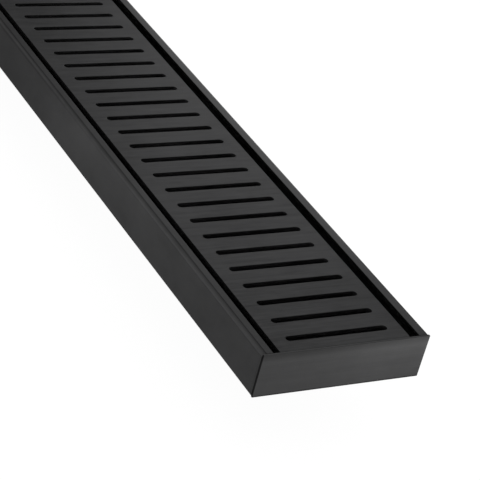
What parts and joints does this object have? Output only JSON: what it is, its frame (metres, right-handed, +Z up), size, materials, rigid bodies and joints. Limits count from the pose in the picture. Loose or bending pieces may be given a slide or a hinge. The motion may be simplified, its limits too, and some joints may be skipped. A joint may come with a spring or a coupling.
{
  "type": "channel drain",
  "caption": "Linear channel drain: folded trough with inturned rims and welded ends, lift-out slotted grate on bearers, and an outlet spigot below.",
  "frame": {"origin": "middle of the outlet spigot's lower end, which is the middle of the whole part's underside", "axes": "+Y along the channel, +X across it, +Z up through the grate"},
  "size_m": [0.1, 0.9, 0.066],
  "materials": {
    "channel_steel": "black coated stainless steel, brushed satin",
    "grate_steel": "black coated stainless steel, brushed satin",
    "outlet_steel": "black coated stainless steel, satin",
    "strainer_steel": "bare stainless steel, satin",
    "bearer_steel": "black coated stainless steel, satin",
    "shoe_rubber": "matt black rubber"
  },
  "bodies": {
    "root": {"channel_body": "channel_steel", "end_plate_near": "channel_steel", "end_plate_far": "channel_steel", "outlet_spigot": "outlet_steel", "outlet_strainer": "strainer_steel", "grate_plate": "grate_steel", "grate_bearer_left": "bearer_steel", "grate_bearer_right": "bearer_steel", "bearer_shoe_left_1": "shoe_rubber", "bearer_shoe_left_2": "shoe_rubber", "bearer_shoe_left_3": "shoe_rubber", "bearer_shoe_left_4": "shoe_rubber", "bearer_shoe_left_5": "shoe_rubber", "bearer_shoe_left_6": "shoe_rubber", "bearer_shoe_right_1": "shoe_rubber", "bearer_shoe_right_2": "shoe_rubber", "bearer_shoe_right_3": "shoe_rubber", "bearer_shoe_right_4": "shoe_rubber", "bearer_shoe_right_5": "shoe_rubber", "bearer_shoe_right_6": "shoe_rubber"}
  },
  "joints": []
}
